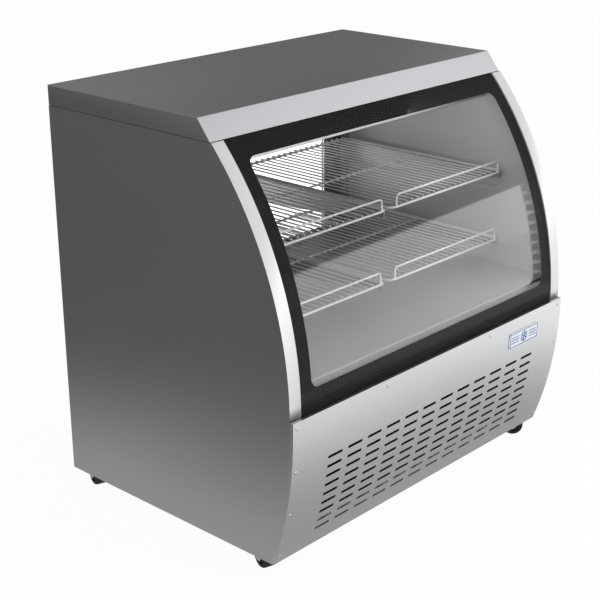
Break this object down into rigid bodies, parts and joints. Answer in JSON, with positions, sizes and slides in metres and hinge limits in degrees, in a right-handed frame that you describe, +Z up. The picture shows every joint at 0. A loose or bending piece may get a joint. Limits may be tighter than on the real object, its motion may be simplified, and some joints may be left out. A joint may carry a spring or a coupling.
{
  "type": "refrigerated deli case",
  "caption": "Free-standing refrigerated display case with curved front glass, wire shelves, rear sliding doors, a louvred lower front and swivel casters.",
  "frame": {"origin": "on the floor, at the middle of the case's footprint (bottom centre of the bounding box)", "axes": "+X to the right as seen by the customer facing the front glass, -Y towards the customer, +Z up"},
  "size_m": [1.016, 0.755, 1.012],
  "materials": {
    "panel_steel": "satin brushed",
    "cap_steel": "satin brushed",
    "foam": "matte",
    "liner_steel": "satin brushed",
    "galvanized": "dull",
    "front_glass": "clear",
    "black_border": "gloss",
    "spacer_black": "matte",
    "front_steel": "satin brushed",
    "screw_steel": "polished",
    "badge_face": "gloss",
    "tub_plastic": "matte",
    "frame_black": "satin",
    "track_grey": "satin",
    "rear_steel": "satin",
    "door_glass": "clear",
    "pull_aluminium": "satin",
    "bracket_steel": "satin",
    "shelf_wire": "bright",
    "led_grey": "satin",
    "led_diffuser": "frosted",
    "coil_aluminium": "plain",
    "fan_plastic": "matte",
    "compressor_black": "gloss",
    "copper": "dull",
    "box_plastic": "matte",
    "button_grey": "matte",
    "rocker_red": "gloss",
    "zinc": "zinc plated",
    "wheel_black": "matte"
  },
  "bodies": {
    "cabinet": {"side_panel_left": "panel_steel", "side_panel_right": "panel_steel", "insulation": "foam", "liner_left": "liner_steel", "liner_right": "liner_steel", "ceiling_liner": "liner_steel", "top_cap": "cap_steel", "base_frame": "galvanized", "glass_outer": "front_glass", "glass_border": "black_border", "glass_spacer": "spacer_black", "glass_inner": "front_glass", "glass_sill": "galvanized", "front_panel": "front_steel", "screws": "screw_steel", "badge_plate": "badge_face", "evaporator_tub": "tub_plastic", "deck_pan": "liner_steel", "rear_frame": "frame_black", "door_tracks": "track_grey", "rear_panel": "rear_steel", "shelf_posts": "bracket_steel", "brackets_upper": "bracket_steel", "brackets_lower": "bracket_steel", "shelf_upper_left": "shelf_wire", "shelf_upper_right": "shelf_wire", "shelf_lower_left": "shelf_wire", "shelf_lower_right": "shelf_wire", "led_housing": "led_grey", "led_lens": "led_diffuser", "evaporator_coil": "coil_aluminium", "evaporator_fan_frame": "fan_plastic", "compressor": "compressor_black", "condenser_coil": "coil_aluminium", "condenser_fan_shroud": "fan_plastic", "refrigerant_pipes": "copper", "condensate_pan": "fan_plastic", "electrical_box": "box_plastic", "controller": "box_plastic", "switch_housing": "box_plastic", "caster_plates": "zinc"},
    "door_left": {"door_left_frame": "frame_black", "door_left_glass": "door_glass", "door_left_handle": "pull_aluminium"},
    "door_right": {"door_right_frame": "frame_black", "door_right_glass": "door_glass", "door_right_handle": "pull_aluminium"},
    "evaporator_rotor": {"evaporator_fan_blade": "fan_plastic"},
    "condenser_rotor": {"condenser_fan_blade": "galvanized"},
    "key_up": {"button_up": "button_grey"},
    "key_down": {"button_down": "button_grey"},
    "rocker": {"light_switch": "rocker_red"},
    "fork_front_left": {"caster_fork_front_left": "zinc"},
    "wheel_front_left": {"caster_wheel_front_left": "wheel_black"},
    "fork_front_right": {"caster_fork_front_right": "zinc"},
    "wheel_front_right": {"caster_wheel_front_right": "wheel_black"},
    "fork_back_left": {"caster_fork_back_left": "zinc"},
    "wheel_back_left": {"caster_wheel_back_left": "wheel_black"},
    "fork_back_right": {"caster_fork_back_right": "zinc"},
    "wheel_back_right": {"caster_wheel_back_right": "wheel_black"}
  },
  "joints": [
    {"name": "door_left_slide", "type": "slide", "parent": "cabinet", "child": "door_left", "axis": [1, 0, 0], "range_m": [0, 0.409]},
    {"name": "door_right_slide", "type": "slide", "parent": "cabinet", "child": "door_right", "axis": [1, 0, 0], "range_m": [-0.409, 0]},
    {"name": "evaporator_fan_spin", "type": "hinge", "parent": "cabinet", "child": "evaporator_rotor", "pos_m": [0, -0.014, 0.411], "axis": [0, 1, 0], "continuous": true},
    {"name": "condenser_fan_spin", "type": "hinge", "parent": "cabinet", "child": "condenser_rotor", "pos_m": [-0.27, -0.175, 0.188], "axis": [0, 1, 0], "continuous": true},
    {"name": "button_up_press", "type": "slide", "parent": "cabinet", "child": "key_up", "axis": [0, -1, 0], "range_m": [0, 0.0013], "stiffness_N_per_m": 200},
    {"name": "button_down_press", "type": "slide", "parent": "cabinet", "child": "key_down", "axis": [0, -1, 0], "range_m": [0, 0.0013], "stiffness_N_per_m": 200},
    {"name": "light_switch_rock", "type": "hinge", "parent": "cabinet", "child": "rocker", "pos_m": [0.41, 0.36, 0.3], "axis": [0, 0, 1], "range_deg": [0, 14]},
    {"name": "swivel_front_left", "type": "hinge", "parent": "cabinet", "child": "fork_front_left", "pos_m": [-0.468, -0.262, 0.064], "axis": [0, 0, 1], "continuous": true},
    {"name": "roll_front_left", "type": "hinge", "parent": "fork_front_left", "child": "wheel_front_left", "pos_m": [-0.46469, -0.25046, 0.028], "axis": [0.9613, -0.2756, 0], "continuous": true},
    {"name": "swivel_front_right", "type": "hinge", "parent": "cabinet", "child": "fork_front_right", "pos_m": [0.468, -0.262, 0.064], "axis": [0, 0, 1], "continuous": true},
    {"name": "roll_front_right", "type": "hinge", "parent": "fork_front_right", "child": "wheel_front_right", "pos_m": [0.47488, -0.27183, 0.028], "axis": [-0.8192, -0.5736, 0], "continuous": true},
    {"name": "swivel_back_left", "type": "hinge", "parent": "cabinet", "child": "fork_back_left", "pos_m": [-0.468, 0.322, 0.064], "axis": [0, 0, 1], "continuous": true},
    {"name": "roll_back_left", "type": "hinge", "parent": "fork_back_left", "child": "wheel_back_left", "pos_m": [-0.46469, 0.33354, 0.028], "axis": [0.9613, -0.2756, 0], "continuous": true},
    {"name": "swivel_back_right", "type": "hinge", "parent": "cabinet", "child": "fork_back_right", "pos_m": [0.468, 0.322, 0.064], "axis": [0, 0, 1], "continuous": true},
    {"name": "roll_back_right", "type": "hinge", "parent": "fork_back_right", "child": "wheel_back_right", "pos_m": [0.47131, 0.33354, 0.028], "axis": [0.9613, -0.2756, 0], "continuous": true}
  ]
}
